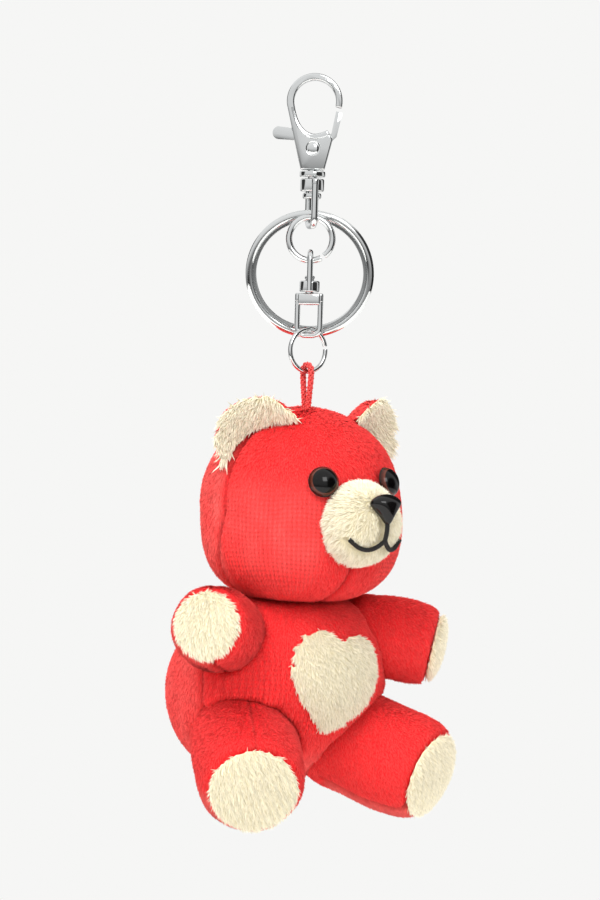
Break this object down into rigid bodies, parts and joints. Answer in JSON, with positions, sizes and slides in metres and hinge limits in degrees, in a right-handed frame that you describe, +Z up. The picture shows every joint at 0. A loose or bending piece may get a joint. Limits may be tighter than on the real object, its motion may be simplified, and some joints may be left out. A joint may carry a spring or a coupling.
{
  "type": "plush keychain",
  "caption": "Small plush bear keychain hung by a braided loop from split rings, a swivel link and a trigger snap hook with a flat key ring.",
  "frame": {"origin": "inner top of the snap hook, where the keychain hangs", "axes": "+Z up along the hanging line, the bear faces -Y and its right side is -X; the metal parts are turned 35 degrees about Z"},
  "size_m": [0.0756, 0.0681, 0.1743],
  "materials": {
    "chrome_metal": "bright nickel-chrome plate on cast and drawn metal",
    "spring_steel": "plain drawn spring wire",
    "coral_plush": "short-pile coral red velour",
    "cream_plush": "longer tufted cream pile",
    "coral_cord": "round braided polyester cord",
    "fibre_fill": "loose white polyester filling",
    "black_gloss_plastic": "polished black, with an amber ring on the eyes",
    "washer_plastic": "moulded natural plastic",
    "black_thread": "twisted embroidery thread"
  },
  "bodies": {
    "clasp": {"hook_body": "chrome_metal", "pivot_rivet": "chrome_metal", "gate_spring": "spring_steel", "swivel_post": "chrome_metal"},
    "trigger": {"trigger_gate": "chrome_metal"},
    "clasp_eye": {"swivel_eye": "chrome_metal"},
    "key_ring": {"key_ring": "chrome_metal"},
    "jump_ring": {"upper_jump_ring": "chrome_metal"},
    "connector_top": {"connector_eye": "chrome_metal"},
    "connector_low": {"connector_frame": "chrome_metal", "connector_rivet": "chrome_metal"},
    "lower_ring": {"lower_ring": "chrome_metal"},
    "cord": {"hanging_cord": "coral_cord"},
    "head": {"cord_knot": "coral_cord", "head_cover": "coral_plush", "head_stuffing": "fibre_fill", "eye_right": "black_gloss_plastic", "eye_washer_right": "washer_plastic", "eye_left": "black_gloss_plastic", "eye_washer_left": "washer_plastic", "muzzle_cover": "cream_plush", "muzzle_stuffing": "fibre_fill", "nose": "black_gloss_plastic", "nose_washer": "washer_plastic", "mouth_stitch_middle": "black_thread", "mouth_stitch_right": "black_thread", "mouth_stitch_left": "black_thread", "ear_front_right": "cream_plush", "ear_back_right": "coral_plush", "ear_front_left": "cream_plush", "ear_back_left": "coral_plush"},
    "torso": {"torso_cover": "coral_plush", "torso_stuffing": "fibre_fill", "heart_patch": "cream_plush"},
    "arm_right": {"arm_cover_right": "coral_plush", "arm_stuffing_right": "fibre_fill", "paw_pad_right": "cream_plush"},
    "leg_right": {"leg_cover_right": "coral_plush", "leg_stuffing_right": "fibre_fill", "sole_pad_right": "cream_plush"},
    "arm_left": {"arm_cover_left": "coral_plush", "arm_stuffing_left": "fibre_fill", "paw_pad_left": "cream_plush"},
    "leg_left": {"leg_cover_left": "coral_plush", "leg_stuffing_left": "fibre_fill", "sole_pad_left": "cream_plush"}
  },
  "joints": [
    {"name": "gate_trigger", "type": "hinge", "parent": "clasp", "child": "trigger", "pos_m": [0, 0, -0.0159], "axis": [-0.5736, -0.8192, 0], "range_deg": [0, 22], "stiffness_Nm_per_rad": 0.02, "springref_deg": -5.73, "deforming": ["gate_spring"]},
    {"name": "clasp_swivel", "type": "hinge", "parent": "clasp", "child": "clasp_eye", "pos_m": [0, 0, -0.0245], "axis": [0, 0, 1], "continuous": true},
    {"name": "key_ring_swing", "type": "hinge", "parent": "clasp_eye", "child": "key_ring", "pos_m": [0.00069, 0.00098, -0.0338], "axis": [0.5736, 0.8192, 0], "range_deg": [-35, 35]},
    {"name": "jump_ring_swing", "type": "hinge", "parent": "clasp_eye", "child": "jump_ring", "pos_m": [-0.00086, -0.00123, -0.0338], "axis": [0.5736, 0.8192, 0], "range_deg": [-25, 25]},
    {"name": "connector_tilt", "type": "hinge", "parent": "jump_ring", "child": "connector_top", "pos_m": [-0.00086, -0.00123, -0.04195], "axis": [0.8192, -0.5736, 0], "range_deg": [-25, 8]},
    {"name": "connector_spin", "type": "hinge", "parent": "connector_top", "child": "connector_low", "pos_m": [-0.00086, -0.00123, -0.049], "axis": [0, 0, 1], "continuous": true},
    {"name": "lower_ring_swing", "type": "hinge", "parent": "connector_low", "child": "lower_ring", "pos_m": [-0.00086, -0.00123, -0.0594], "axis": [0.8192, -0.5736, 0], "range_deg": [-15, 15]},
    {"name": "cord_swing", "type": "hinge", "parent": "lower_ring", "child": "cord", "pos_m": [-0.00086, -0.00123, -0.06777], "axis": [1, 0, 0], "range_deg": [-35, 35]},
    {"name": "bear_tilt", "type": "hinge", "parent": "cord", "child": "head", "pos_m": [-0.00086, -0.00123, -0.0762], "axis": [0, 1, 0], "range_deg": [-20, 20]},
    {"name": "neck_flex", "type": "hinge", "parent": "head", "child": "torso", "pos_m": [0, 0.0024, -0.1196], "axis": [1, 0, 0], "range_deg": [-6, 6], "stiffness_Nm_per_rad": 0.4},
    {"name": "arm_flex_right", "type": "hinge", "parent": "torso", "child": "arm_right", "pos_m": [-0.0186, 0.0012, -0.1282], "axis": [-0.601, 0.7993, 0], "range_deg": [-14, 14], "stiffness_Nm_per_rad": 0.04},
    {"name": "arm_flex_left", "type": "hinge", "parent": "torso", "child": "arm_left", "pos_m": [0.0186, 0.0012, -0.1282], "axis": [-0.601, -0.7993, 0], "range_deg": [-14, 14], "stiffness_Nm_per_rad": 0.04},
    {"name": "leg_flex_right", "type": "hinge", "parent": "torso", "child": "leg_right", "pos_m": [-0.0135, 0.0012, -0.1534], "axis": [-0.8699, 0.4932, 0], "range_deg": [-10, 10], "stiffness_Nm_per_rad": 0.04},
    {"name": "leg_flex_left", "type": "hinge", "parent": "torso", "child": "leg_left", "pos_m": [0.0135, 0.0012, -0.1534], "axis": [-0.8699, -0.4932, 0], "range_deg": [-10, 10], "stiffness_Nm_per_rad": 0.04}
  ]
}
